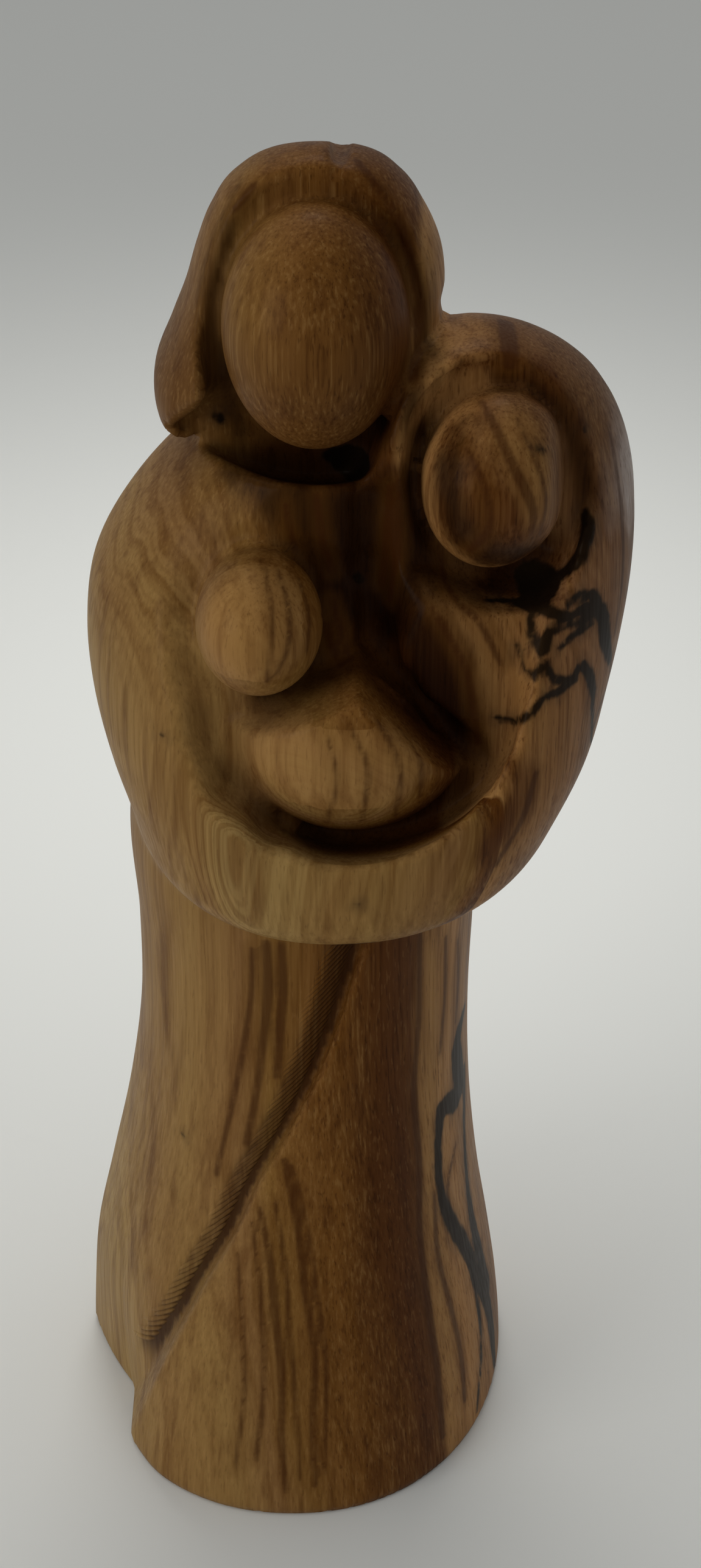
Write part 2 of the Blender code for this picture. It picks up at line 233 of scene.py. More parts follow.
def slab(p, point, facing):
    """Everything behind a plane through the point; facing points out of it."""
    length = np.sqrt(sum(n * n for n in facing))
    return sum((a - c) * n for a, c, n in zip(p, point, facing)) / length


# %% [markdown]
# ## Robe, cloak and hood
# The skirts come first. The second one laps over the first, and a shallow channel runs down beside its
# edge, where the carver has hatched the wood. The cloak with both arms lies over them, and the hood on top.

# %% Robe, cloak and hood
def robe(p):
    x, y, z = p
    body = loft(p, ROBE, share=0.63, power=2.15)
    heights, edge = zip(*FOLD)
    beside = (through(heights, edge, z) - x) * 0.84
    # the first figure's skirt lies lower than the second's, most at the floor
    front = np.clip((1.7 - y) / 12.5, 0.0, 1.0)
    low = np.interp(z, (0, 12, 25, 60, 84), (4.2, 2.8, 1.5, 0.7, 0.6)) * step(26.0, 3.0, beside)
    # a channel runs beside the edge
    wide = np.interp(z, (12, 35, 60, 84), (2.0, 3.0, 3.8, 4.0))
    channel = np.interp(z, (6, 20, 60, 84), (0.0, 0.5, 0.9, 0.9)) * step(0.0, 1.0, 1.15 - beside / wide)
    first = body + (low + channel) * front
    # the second skirt ends in a crisp edge that is rounded over toward the floor
    over = np.interp(z, (0, 20, 60), (0.7, 0.4, 0.2)) * step(-5.0, 0.0, beside) ** 2
    second = smooth_max(body + over * front, beside, 0.4)
    return smooth_min(first, second, 0.2) + 0.3 * np.clip(0.9 - z, 0.0, 1.0) ** 2


def cloak(p):
    x, y, z = p
    body = loft(p, CLOAK, share=0.55, power=2.15)
    hem = 79.6 + 0.12 * (y + 28.0)
    return smooth_max(body, hem - z, 5.0)


def over_lip(p):
    """Everything above the lip over the chest, which runs down toward the back."""
    x, y, z = p
    places, heights = zip(*LIP)
    return (through(places, heights, x) - 0.5 * (y + 14.0) - z) * 0.8


def hood(p):
    x, y, z = p
    body = loft(p, HOOD, share=0.5, power=2.35, top_round=2.0)
    body = smooth_max(body, 133.4 - z, 2.0)
    # in front the left side ends above the lip
    body = smooth_max(body, over_lip(p) - 0.3 - 6.0 * step(-8.0, 0.0, y), 1.5)
    # flat facet at the end of the left side
    facet = smooth_max(slab(p, (-9.5, -12.0, 141.6), (0.10, 0.78, 0.62)), x + 7.6, 1.0)
    body = cut(body, facet, 0.4)
    # nick in the top
    return cut(body, capsule(p, (6.2, -8.0, 166.3), (6.2, 8.0, 164.4), 1.1, 1.1), 0.5)


# %% [markdown]
# ## The child and the hollows
# The child is a plain egg for a head and a wrapped body with one ridge. It lies in a trough behind the rim
# of the arms. The two hoods are hollowed round the faces, which stay blank eggs as on the real carving.

# %% The child, and the whole carving
def child(p):
    """The child's head, its wrapped body, and the trough that the body lies in."""
    x, y, _ = p
    head = ellipsoid(p, (-2.6, -18.6, 118.6), (6.8, 7.4, 8.0))
    body = ellipsoid(p, (7.3, -15.8, 105.2), (13.5, 10.6, 13.4))
    under = 0.36 * (y + 28.0) * step(-5.0, 5.0, x)
    trough = smooth_max(oval(p, (7.1, 107.0), 15.0, 13.6) - under, y + 17.0 + 3.0 * step(2.0, -5.0, x), 2.5)
    body = smooth_max(body, slab(p, (-5.7, -22.0, 105.8), (-0.43, -0.04, 0.90)), 0.4)
    body = smooth_max(body, slab(p, (12.7, -21.0, 107.4), (0.74, 0.0, 0.67)), 0.5)
    return head, body, trough


def carving(p):
    """The whole carving's field, in millimetres."""
    x, y, z = p
    at_back = step(0.0, 16.0, y)
    body = smooth_min(robe(p), cloak(p), 1.0 + 9.0 * at_back)
    body = smooth_min(body, hood(p), 0.8 + 3.0 * at_back)
    # parting between the two figures, down the back and over the shoulder
    parting = chain(p, ((18.6, -14.0, 149.6), (18.4, 0.0, 148.2), (15.5, 12.0, 140.0), (12.0, 20.0, 128.0)),
                    (1.6, 1.5, 1.4, 0.6))
    body = cut(body, parting, 1.2)
    # the first chest, the second chest and the valley between them
    chest = smooth_max(oval(p, (2.6, 125.5), 12.6, 17.0), y + 14.6 - 0.03 * (z - 120.0), 2.5)
    body = cut(body, chest, 2.5 + 4.0 * step(3.0, -8.0, x))
    other = smooth_max(slab(p, (27.6, 0.0, 120.0), (0.965, 0.0, -0.26)),
                       slab(p, (9.6, 0.0, 112.5), (-0.737, 0.0, -0.675)), 1.5)
    other = smooth_max(smooth_max(other, 8.5 - x, 1.5), smooth_max(y + 16.6, z - 122.5, 3.0), 2.0)
    body = cut(body, other, 3.0)
    body = smooth_min(body, ellipsoid(p, (18.6, -9.0, 111.5), (8.0, 8.8, 13.0), tilt=-10.0), 2.0)
    valley = chain(p, ((10.0, -15.6, 135.0), (9.6, -14.4, 130.0), (9.2, -13.8, 122.0), (9.9, -13.8, 113.4),
                       (12.4, -14.6, 109.8), (16.3, -15.2, 105.1), (21.9, -18.0, 99.8)),
                   (1.2, 2.2, 2.2, 1.8, 1.4, 1.3, 1.0), 1.5)
    body = cut(body, valley, 2.4)
    lapel = chain(
        p,
        ((15.9, -15.0, 148.6), (15.2, -15.4, 144.8), (13.6, -15.8, 142.0), (12.7, -16.0, 139.6),
         (12.6, -15.8, 136.0), (12.8, -15.4, 131.5), (13.4, -15.6, 126.0)),
        (0.9, 0.9, 0.9, 0.9, 1.0, 1.0, 0.7),
    )
    body = cut(body, lapel, 1.0)
    crease = chain(
        p, ((27.2, -19.0, 120.0), (25.4, -19.4, 112.5), (23.5, -19.6, 104.5), (21.8, -19.6, 100.0)),
        (0.9, 1.0, 1.0, 1.1),
    )
    body = cut(body, crease, 2.0)
    # hollow of the first figure's hood, round the face and under the chin
    scoop = smooth_max(over_lip(p), slab(p, (-10.6, 0.0, 137.4), (-0.77, 0.0, 0.64)), 0.8)
    scoop = smooth_max(scoop, z - 146.0, 1.0)
    around = smooth_min(smooth_max(oval(p, (3.1, 148.2), 11.8, 17.6), 138.0 - z, 1.5), scoop, 1.5)
    around = smooth_max(around, slab(p, (10.1, 0.0, 135.0), (0.951, 0.0, -0.309)), 1.5)
    hollow = smooth_max(around, y + 7.0 + 0.25 * (z - 146.0) * step(146.0, 136.0, z), 2.5)
    body = cut(body, hollow, 0.9)
    # hollow of the second figure's hood, with a shallow slope at its left
    slope = smooth_max(oval(p, (19.8, 133.0), 9.4, 12.4), 12.9 - x, 1.0)
    slope = smooth_max(slope, slab(p, (15.7, 0.0, 144.8), (-0.838, 0.0, 0.546)), 0.6)
    slope = smooth_max(slope, y + np.maximum(13.6 - 0.4 * (x - 12.9), 11.6), 1.0)
    hollow = smooth_max(oval(p, (23.4, 133.0), 10.0, 13.6, tilt=3.0), y + 11.0, 2.0)
    chin = ellipsoid(p, (24.4, -18.6, 123.6), (7.4, 10.6, 5.2), tilt=-8.0)
    hollow = smooth_min(hollow, chin, 2.0)
    edge = 0.8 + 2.4 * step(134.0, 126.0, z) * step(24.0, 15.0, x)
    body = cut(body, smooth_min(hollow, slope, 1.5), edge)
    # sockets that the child lies in
    head, wrap, trough = child(p)
    arc = smooth_max(ellipsoid(p, (2.0, -17.6, 119.2), (8.4, 5.6, 8.0)), y + 13.0, 1.5)
    body = cut(body, arc, 1.2)
    beside = chain(
        p,
        ((-5.0, -17.2, 126.4), (-8.6, -18.6, 123.6), (-10.0, -19.4, 118.5), (-9.0, -20.4, 112.5),
         (-7.6, -21.8, 106.5), (-5.4, -22.8, 100.5), (-1.0, -22.8, 95.8), (4.0, -21.6, 94.6)),
        (1.4, 2.0, 2.3, 2.4, 2.3, 1.9, 1.2, 0.6), 2.0,
    )
    body = cut(body, beside, 3.0)
    body = cut(body, trough, 0.4 + 3.0 * step(4.0, -3.0, x))
    body = smooth_min(body, smooth_min(head, wrap, 0.4), 0.4 + 1.6 * step(6.0, -2.0, x))
    # faces
    face = ellipsoid(p, (3.5, -9.6, 148.8), (9.75, 9.8, 13.3))
    body = smooth_min(body, face, 0.5 + 1.3 * step(7.0, 11.0, x))
    face = ellipsoid(p, (22.4, -13.0, 133.0), (7.8, 8.0, 9.9), tilt=8.0)
    face = smooth_max(face, slab(p, (29.4, -14.0, 133.5), (0.96, -0.24, 0.10)), 1.2)
    return smooth_min(body, face, 0.5)


# %% [markdown]
# ## A finer skin
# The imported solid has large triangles. A voxel remesh of a copy gives an even net of small squares with no
# seams. Each point is then moved along the field's slope until the field is zero there, which brings back
# the crisp rims that a voxel remesh rounds off. The slope is also the direction in which the wood faces.

# %% Where the field is zero
MM = 0.001
SKIN = 0.65 * MM
FLOOR_EDGE = 0.35


def wood(p):
    """The carving standing on its sawn underside, whose edge is slightly broken."""
    return smooth_max(carving(p), -p[2], FLOOR_EDGE)


def slope(field, points, reach=0.08):
    """Value and direction of the field at each point."""
    value = field(points.T)
    lean = np.empty_like(points)
    for k in range(3):
        side = np.zeros(3)
        side[k] = reach
        lean[:, k] = (field((points + side).T) - value) / reach
    return value, lean


def settled(field, points, rounds=4):
    """Moves points onto the surface of the field."""
    for _ in range(rounds):
        value, lean = slope(field, points)
        size = np.maximum((lean**2).sum(axis=1), 0.2)
        move = lean * (value / size)[:, None]
        length = np.sqrt((move**2).sum(axis=1, keepdims=True))
        points = points - move * np.minimum(1.0, 0.5 / np.maximum(length, 1e-9))
    return points


# %% Remesh a copy of the solid and settle it
def result_of(thing):
    """The object's mesh with its modifiers applied."""
    bpy.context.view_layer.update()
    graph = bpy.context.evaluated_depsgraph_get()
    return bpy.data.meshes.new_from_object(thing.evaluated_get(graph))


def points_of(mesh):
    flat = np.empty(3 * len(mesh.vertices), np.float32)
    mesh.vertices.foreach_get("co", flat)
    return flat.reshape(-1, 3).astype(float)


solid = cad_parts["holy_family"]
figure = bpy.data.objects.new("carved_family", solid.data.copy())
bpy.context.scene.collection.objects.link(figure)
figure.data.materials.clear()
weld = figure.modifiers.new("weld", "WELD")
weld.merge_threshold = 0.01 * MM
remesh = figure.modifiers.new("even net", "REMESH")
remesh.mode = "VOXEL"
remesh.voxel_size = SKIN
skin = result_of(figure)
figure.modifiers.clear()
figure.data = skin
points = settled(wood, points_of(skin) / MM)
# the sawn underside lies flat on the table
low = points[:, 2] < 0.02
points[low, 2] = 0.0
print("skin", len(skin.vertices), "points", len(skin.polygons), "faces")

# %% [markdown]
# ## Where things are in the photograph
# Streaks and tool marks are placed one by one in the photograph. A line of sight from the camera through a
# pixel is followed until it meets the wood, so each mark lies on the surface and holds its place from every
# side.

# %% The camera, and a sight line to the wood
PICTURE = (1151, 2576)
FOCAL = 5000.0
EYE = np.array([7.16, -300.0, 280.8])
LOOKS_DOWN = np.radians(33.0)
NEAREST, FURTHEST = 230.0, 420.0  # the wood lies between these distances from the camera
FORWARD = np.array([0.0, np.cos(LOOKS_DOWN), -np.sin(LOOKS_DOWN)])
UP = np.array([0.0, np.sin(LOOKS_DOWN), np.cos(LOOKS_DOWN)])


def on_wood(pixels):
    """Points of the wood, in millimetres, seen at these pixels of the photograph."""
    u, v = np.asarray(pixels, float).T
    aside, down = (u - PICTURE[0] / 2) / FOCAL, (v - PICTURE[1] / 2) / FOCAL
    ray = np.outer(aside, (1, 0, 0)) - np.outer(down, UP) + FORWARD
    ray /= np.sqrt((ray**2).sum(axis=1, keepdims=True))
    far = np.full(len(ray), NEAREST)
    for _ in range(90):
        far += 0.7 * np.clip(wood((EYE + ray * far[:, None]).T), -2.0, 12.0)
    missed = far > FURTHEST
    assert not missed.any(), f"no wood at {np.asarray(pixels)[missed]}"
    return EYE + ray * far[:, None]


print("band of the arms is at", on_wood([(590, 1470)]).round(1)[0], "mm")

# %% [markdown]
# ## Hatching in the fold
# Beside the edge of the second skirt the carver has cut a row of slanting nicks, so that narrow ridges
# stand between them like the lay of a rope. They repeat along a path, which is work for Geometry Nodes: one
# small ridge, set once on every point of a row, laid on the wood's own slope and sized by the point.

# %% The row of ridges
HATCH_LOW, HATCH_HIGH = 16.5, 80.0
HATCH_PITCH = (1.32, 0.88)
HATCH_RISE = np.radians(45.0)
CHANNEL_HEIGHTS, CHANNEL_WIDTHS = (12, 35, 60, 84), (2.4, 3.0, 3.8, 4.3)
RIDGE_LENGTH = 2.2  # in widths of the channel
RIDGE_WIDTH = 0.74  # in pitches
RIDGE_START = 0.9  # left of the crisp edge
RIDGE_SUNK = 0.55  # in half widths, below the skin
RIDGE_SIDES = 8


def front_of(x, z):
    """Points on the front of the wood at these places across and up."""
    found = np.stack([x, np.full_like(x, -40.0), z], axis=1)
    for _ in range(60):
        found[:, 1] += 0.7 * np.clip(wood(found.T), -1.0, 6.0)
    return found


heights = [HATCH_LOW]
while heights[-1] < HATCH_HIGH:
    heights.append(heights[-1] + np.interp(heights[-1], (HATCH_LOW, HATCH_HIGH), HATCH_PITCH))
heights = np.array(heights)
edge_height, edge_x = zip(*FOLD)
# a ridge starts beside the crisp edge and runs down and left across the channel, no two quite alike
uneven = 0.94 + 0.12 * np.sin(7.3 * heights)
length = np.interp(heights, CHANNEL_HEIGHTS, CHANNEL_WIDTHS) * RIDGE_LENGTH * uneven
width = np.interp(heights, (HATCH_LOW, HATCH_HIGH), HATCH_PITCH) * RIDGE_WIDTH
ridge_at = front_of(through(edge_height, edge_x, heights) - RIDGE_START, heights)
print(len(heights), "ridges", length.min().round(1), "to", length.max().round(1), "mm long")


# %% One small function adds a node, another makes a mesh
def node(tree, kind, settings=(), inputs=()):
    """Adds a node, sets its properties, and fills or links its inputs by name or number."""
    made = tree.nodes.new(kind)
    for name, value in dict(settings).items():
        setattr(made, name, value)
    for name, value in dict(inputs).items():
        if isinstance(value, bpy.types.NodeSocket):
            tree.links.new(value, made.inputs[name])
        else:
            made.inputs[name].default_value = value
    return made


def mesh_with(name, points, faces=(), **layers):
    """A mesh with named values on its points."""
    mesh = bpy.data.meshes.new(name)
    mesh.from_pydata(points, [], faces)
    for layer, values in layers.items():
        values = np.asarray(values, np.float32)
        kind, slot = ("FLOAT_VECTOR", "vector") if values.ndim == 2 else ("FLOAT", "value")
        mesh.attributes.new(layer, kind, "POINT").data.foreach_set(slot, values.ravel())
    return mesh


# %% The row as points that carry each ridge's direction and size
lay = np.tile((-np.cos(HATCH_RISE), 0.0, -np.sin(HATCH_RISE)), (len(heights), 1)) * length[:, None] * MM
row = bpy.data.objects.new(
    "hatch_row", mesh_with("hatch_row", (ridge_at * MM).tolist(), lay=lay, thick=width / 2 * MM)
)
bpy.context.scene.collection.objects.link(row)

# %% The tree: a short line on every point, laid on the skin and made round
tree = bpy.data.node_groups.new("hatched fold", "GeometryNodeTree")
for name, kind in (("Geometry", "Geometry"), ("Row", "Object"), ("Sides", "Int"), ("Raised", "Float"),
                   ("Wood", "Material")):
    tree.interface.new_socket(name, in_out="INPUT", socket_type=f"NodeSocket{kind}")
tree.interface.new_socket("Geometry", in_out="OUTPUT", socket_type="NodeSocketGeometry")
given = node(tree, "NodeGroupInput").outputs
lay_kept, thick_kept = (
    node(tree, "GeometryNodeInputNamedAttribute", {"data_type": kind}, {"Name": layer}).outputs[0]
    for layer, kind in (("lay", "FLOAT_VECTOR"), ("thick", "FLOAT"))
)
spots = node(tree, "GeometryNodeObjectInfo", inputs={"Object": given["Row"]})
line = node(tree, "GeometryNodeCurvePrimitiveLine", inputs={"Start": (0, 0, 0), "End": (0, 0, 0)})
dense = node(tree, "GeometryNodeResampleCurve", inputs={"Curve": line.outputs[0], "Count": 9})
placed = node(tree, "GeometryNodeInstanceOnPoints",
              inputs={"Points": spots.outputs["Geometry"], "Instance": dense.outputs[0]})
real = node(tree, "GeometryNodeRealizeInstances", inputs={"Geometry": placed.outputs["Instances"]})
along = node(tree, "GeometryNodeSplineParameter").outputs["Factor"]
stretch = node(tree, "ShaderNodeVectorMath", {"operation": "SCALE"},
               {0: lay_kept, "Scale": along})
drawn_out = node(tree, "GeometryNodeSetPosition",
                 inputs={"Geometry": real.outputs[0], "Offset": stretch.outputs[0]})
before = node(tree, "ShaderNodeVectorMath", {"operation": "ADD"},
              {0: node(tree, "GeometryNodeInputPosition").outputs[0], 1: (0.0, -8 * MM, 0.0)})
ray = node(tree, "GeometryNodeRaycast", {"data_type": "FLOAT"}, {
    "Target Geometry": given["Geometry"], "Source Position": before.outputs[0], "Ray Direction": (0, 1, 0),
    "Ray Length": 30 * MM})
sunk = node(tree, "ShaderNodeMath", {"operation": "MULTIPLY"},
            {0: thick_kept, 1: given["Raised"]})
lift = node(tree, "ShaderNodeVectorMath", {"operation": "SCALE"},
            {0: ray.outputs["Hit Normal"], "Scale": sunk.outputs[0]})
onto = node(tree, "ShaderNodeVectorMath", {"operation": "ADD"},
            {0: ray.outputs["Hit Position"], 1: lift.outputs[0]})
laid = node(tree, "GeometryNodeSetPosition",
            inputs={"Geometry": drawn_out.outputs[0], "Position": onto.outputs[0]})
# a ridge is thin where it leaves the edge and where it runs out
start, finish = (
    node(tree, "ShaderNodeMapRange", {"interpolation_type": "SMOOTHSTEP"},
         {"Value": along, "From Min": low, "From Max": high, "To Min": thin, "To Max": thick}).outputs[0]
    for low, high, thin, thick in ((0.0, 0.2, 0.3, 1.0), (0.6, 1.0, 1.0, 0.4))
)
taper = node(tree, "ShaderNodeMath", {"operation": "MULTIPLY"}, {0: start, 1: finish}).outputs[0]
radius = node(tree, "ShaderNodeMath", {"operation": "MULTIPLY"},
              {0: thick_kept, 1: taper}).outputs[0]
sized = node(tree, "GeometryNodeSetCurveRadius", inputs={"Curve": laid.outputs[0], "Radius": radius})
ring = node(tree, "GeometryNodeCurvePrimitiveCircle", inputs={"Resolution": given["Sides"], "Radius": 1.0})
ridges = node(tree, "GeometryNodeCurveToMesh", inputs={
    "Curve": sized.outputs[0], "Profile Curve": ring.outputs["Curve"], "Fill Caps": True,
    "Scale": node(tree, "GeometryNodeInputRadius").outputs[0]})
both = node(tree, "GeometryNodeJoinGeometry")
tree.links.new(ridges.outputs["Mesh"], both.inputs["Geometry"])
tree.links.new(given["Geometry"], both.inputs["Geometry"])
whole = node(tree, "GeometryNodeRealizeInstances", inputs={"Geometry": both.outputs["Geometry"]})
smooth = node(tree, "GeometryNodeSetShadeSmooth", inputs={"Geometry": whole.outputs["Geometry"]})
dressed = node(tree, "GeometryNodeSetMaterial",
               inputs={"Geometry": smooth.outputs[0], "Material": given["Wood"]})
node(tree, "NodeGroupOutput", inputs={"Geometry": dressed.outputs["Geometry"]})

# %% Run it on the skin and keep the result as a plain mesh
skin.vertices.foreach_set("co", (points * MM).astype(np.float32).ravel())
skin.update()
olive = bpy.data.materials.new("waxed_olive_wood")
hatch = figure.modifiers.new("hatching", "NODES")
hatch.node_group = tree
sockets = {item.name: item.identifier for item in tree.interface.items_tree if item.in_out == "INPUT"}
hatch[sockets["Row"]] = row
hatch[sockets["Sides"]] = RIDGE_SIDES
hatch[sockets["Raised"]] = -RIDGE_SUNK
hatch[sockets["Wood"]] = olive
finished = result_of(figure)
figure.modifiers.clear()
figure.data = finished
bpy.data.objects.remove(row)
triangles = sum(len(face.vertices) - 2 for face in finished.polygons)
print("carving", len(finished.vertices), "points", triangles, "triangles")

# %% [markdown]
# ## Streaks of the wood
# Olive wood is pale at the outside of the branch and dark brown at its heart, with thin dark rings and
# black zone lines where the tree was once hurt. The strong ones are drawn here as strokes: each is a few
# points of the photograph with the stroke's half width in millimetres. Other strokes are painted shade and
# painted shadow: under the lip, round the hollows and under both chins. Every point of the carving keeps how
# far it is from the nearest stroke of each kind, and the material turns that into a line with a live edge.

# %% Black zone lines and knots, and painted shadow under both chins: u, v and half width
BLACK = (
    ((763, 1653, 0.5), (750, 1720, 1.8), (752, 1790, 2.2), (742, 1812, 1.5), (728, 1816, 1.2),
     (722, 1850, 1.0), (720, 1920, 0.8), (728, 1975, 0.9), (742, 2010, 1.3), (765, 2050, 1.4),
     (783, 2095, 1.4), (800, 2140, 1.6), (809, 2200, 1.5), (812, 2240, 0.8)),
    ((762, 1760, 1.0), (764, 1900, 0.6), (773, 1990, 1.1), (785, 2050, 1.6), (800, 2110, 1.6)),
    ((763, 2053, 0.4), (783, 2133, 0.5), (790, 2220, 0.4), (783, 2318, 0.25)),
    # painted shadow on the shelf under the second figure's chin, over dark wood
    ((872, 945, 1.8), (888, 965, 2.4), (880, 990, 1.6), (845, 988, 0.6), (800, 985, 0.4)),
    ((850, 992, 0.6), (900, 1004, 0.6), (935, 1014, 0.7), (958, 1000, 0.7), (983, 1000, 1.0),
     (993, 1040, 1.3), (1001, 1085, 0.6)),
    # painted shadow in the hollow under the second figure's chin, over dark heart wood
    ((960, 842, 0.5), (965, 870, 1.0), (955, 905, 1.0), (925, 942, 0.8), (890, 960, 0.9)),
    ((872, 1010, 0.4), (875, 1045, 0.5), (892, 1067, 0.8), (900, 1040, 0.5), (925, 1030, 0.4),
     (975, 1008, 0.6)),
    ((920, 1064, 0.35), (945, 1040, 0.5), (972, 1022, 0.5)),
    ((985, 1000, 0.9), (970, 975, 0.7), (955, 976, 0.5), (935, 990, 0.5)),
    ((850, 1060, 0.2), (865, 1104, 0.3), (880, 1110, 0.4), (895, 1088, 0.4), (905, 1112, 0.5),
     (935, 1118, 0.5), (957, 1092, 0.6), (970, 1115, 0.8), (973, 1160, 0.45), (970, 1230, 0.25)),
    ((812, 1178, 0.2), (840, 1185, 0.35), (870, 1175, 0.45), (895, 1145, 0.45), (920, 1135, 0.5),
     (945, 1115, 0.5)),
    # the first stroke on this line is painted shadow under the first figure's chin
    ((545, 748, 1.0), (583, 760, 2.2), (598, 780, 1.2)), ((885, 735, 0.35), (893, 741, 0.2)),
    ((264, 1206, 0.25), (266, 1207, 0.25)),
    ((587, 1486, 0.25), (588, 1488, 0.2)), ((300, 1865, 0.25), (301, 1867, 0.2)),
    ((358, 684, 0.6), (362, 690, 0.5)),
    ((585, 948, 0.5), (592, 955, 0.3)), ((958, 706, 0.25), (960, 708, 0.2)),
)
print("black strokes", len(BLACK))

# %% Brown ring lines
RINGS = (
    ((467, 1907, 0.25), (487, 2000, 0.32), (503, 2133, 0.32), (517, 2233, 0.3), (513, 2333, 0.25),
     (517, 2440, 0.2)),
    ((427, 1987, 0.2), (443, 2067, 0.3), (453, 2167, 0.34), (463, 2267, 0.32), (462, 2367, 0.28),
     (470, 2450, 0.2)),
    ((478, 1915, 0.12), (503, 2010, 0.16), (521, 2133, 0.16), (534, 2233, 0.14), (532, 2420, 0.1)),
    ((452, 1975, 0.1), (468, 2080, 0.16), (477, 2200, 0.18), (486, 2300, 0.16), (492, 2430, 0.1)),
    ((414, 2010, 0.1), (425, 2100, 0.14), (433, 2200, 0.16), (432, 2300, 0.14), (420, 2400, 0.1)),
    ((390, 2060, 0.08), (398, 2180, 0.12), (400, 2300, 0.12), (385, 2420, 0.08)),
    ((455, 935, 0.1), (474, 1000, 0.16), (471, 1070, 0.16), (452, 1112, 0.1)),
    ((490, 950, 0.12), (508, 1012, 0.18), (504, 1072, 0.14)),
    ((430, 918, 0.06), (446, 1000, 0.1), (440, 1120, 0.08)),
    ((575, 1195, 0.1), (604, 1262, 0.15), (594, 1350, 0.1)),
    ((622, 1185, 0.12), (657, 1262, 0.18), (650, 1340, 0.12)),
    ((538, 1212, 0.08), (554, 1282, 0.12), (536, 1352, 0.08)),
    ((655, 1195, 0.1), (690, 1250, 0.14), (690, 1310, 0.1)),
    ((528, 1010, 0.2), (545, 1060, 0.3), (560, 1095, 0.2)),
    ((545, 985, 0.15), (562, 1040, 0.25), (575, 1085, 0.2)),
    ((437, 1550, 0.45), (440, 1620, 0.5), (433, 1700, 0.4), (425, 1770, 0.3), (405, 1880, 0.3)),
    ((462, 1552, 0.3), (465, 1620, 0.4), (460, 1690, 0.4), (455, 1770, 0.3)),
    ((415, 1560, 0.2), (412, 1640, 0.25), (400, 1720, 0.25), (378, 1830, 0.2), (355, 1930, 0.2)),
    ((690, 1535, 0.3), (688, 1667, 0.35), (680, 1800, 0.35), (688, 1900, 0.45), (690, 2033, 0.45),
     (707, 2167, 0.45), (720, 2267, 0.45), (727, 2360, 0.4)),
    ((713, 1960, 0.2), (720, 2067, 0.35), (740, 2147, 0.35), (757, 2227, 0.4), (763, 2300, 0.3)),
    ((748, 1880, 0.2), (735, 1960, 0.25), (750, 2030, 0.25)),
    ((732, 1540, 0.2), (730, 1640, 0.25), (722, 1730, 0.2)),
    ((752, 1545, 0.2), (752, 1620, 0.2), (748, 1680, 0.2)),
    ((790, 660, 0.2), (820, 715, 0.35), (835, 750, 0.35), (860, 800, 0.4), (875, 840, 0.35),
     (872, 885, 0.2)),
    ((765, 735, 0.1), (785, 775, 0.24), (803, 830, 0.3), (802, 870, 0.28), (770, 905, 0.2)),
    ((850, 690, 0.1), (885, 770, 0.12), (897, 830, 0.14), (885, 880, 0.1)),
    ((722, 895, 0.2), (730, 950, 0.22), (757, 995, 0.26), (785, 1018, 0.2), (800, 1045, 0.24),
     (822, 1090, 0.18)),
    ((710, 1000, 0.15), (740, 1050, 0.24), (765, 1100, 0.24), (777, 1160, 0.24), (785, 1222, 0.2)),
    ((585, 262, 0.3), (646, 347, 0.45), (676, 430, 0.5), (688, 500, 0.5), (686, 560, 0.45),
     (678, 620, 0.45)),
    ((830, 530, 0.8), (836, 565, 0.9), (838, 597, 0.7)),
    ((417, 303, 0.3), (400, 325, 0.4), (384, 346, 0.25)),
    ((520, 815, 0.2), (528, 880, 0.25), (545, 940, 0.25)),
    ((470, 830, 0.15), (478, 880, 0.2), (492, 930, 0.2)),
    ((640, 800, 0.3), (636, 880, 0.35), (628, 960, 0.35)),
    ((655, 790, 0.2), (652, 900, 0.3), (640, 985, 0.3)),
    ((1000, 700, 0.2), (1020, 830, 0.3), (1022, 950, 0.3), (1010, 1040, 0.25)),
    ((985, 1010, 0.3), (1003, 1085, 0.3), (976, 1190, 0.3)),
    ((880, 1270, 0.3), (860, 1340, 0.35), (815, 1420, 0.25)),
)
print("ring lines", len(RINGS))

# %% The dark heart of the branch, painted shade round the hollows and under the lip, and pale stripes
HEART = (
    ((700, 1045, 2.6), (715, 1100, 3.8), (738, 1165, 3.4), (765, 1215, 1.4)),
    ((730, 790, 1.8), (742, 835, 3.0), (745, 880, 2.2)),
    ((560, 800, 1.0), (575, 850, 1.5), (588, 905, 1.5)),
    ((640, 770, 1.2), (634, 860, 1.6), (622, 950, 1.6), (630, 1030, 1.6)),
    ((632, 380, 1.2), (654, 480, 2.1), (652, 590, 2.2), (632, 680, 2.1), (600, 722, 1.8)),
    ((645, 1560, 2.8), (640, 1800, 2.9), (648, 1950, 3.6), (655, 2050, 3.6), (672, 2150, 2.9),
     (692, 2250, 2.1), (706, 2350, 1.6)),
    ((820, 955, 2.2), (860, 950, 3.0), (905, 915, 2.4)),
    ((700, 930, 1.5), (680, 880, 1.6), (668, 800, 1.2)),
    ((760, 600, 1.4), (830, 598, 2.0), (905, 640, 1.8), (948, 720, 1.6), (964, 800, 1.6)),
    ((840, 1240, 1.0), (858, 1290, 1.7), (835, 1350, 1.8), (800, 1400, 1.2)),
    ((738, 730, 1.4), (762, 790, 3.2), (790, 860, 4.4), (830, 905, 3.6), (870, 915, 2.0)),
    ((560, 860, 3.0), (600, 940, 4.0), (645, 1020, 3.2)),
)
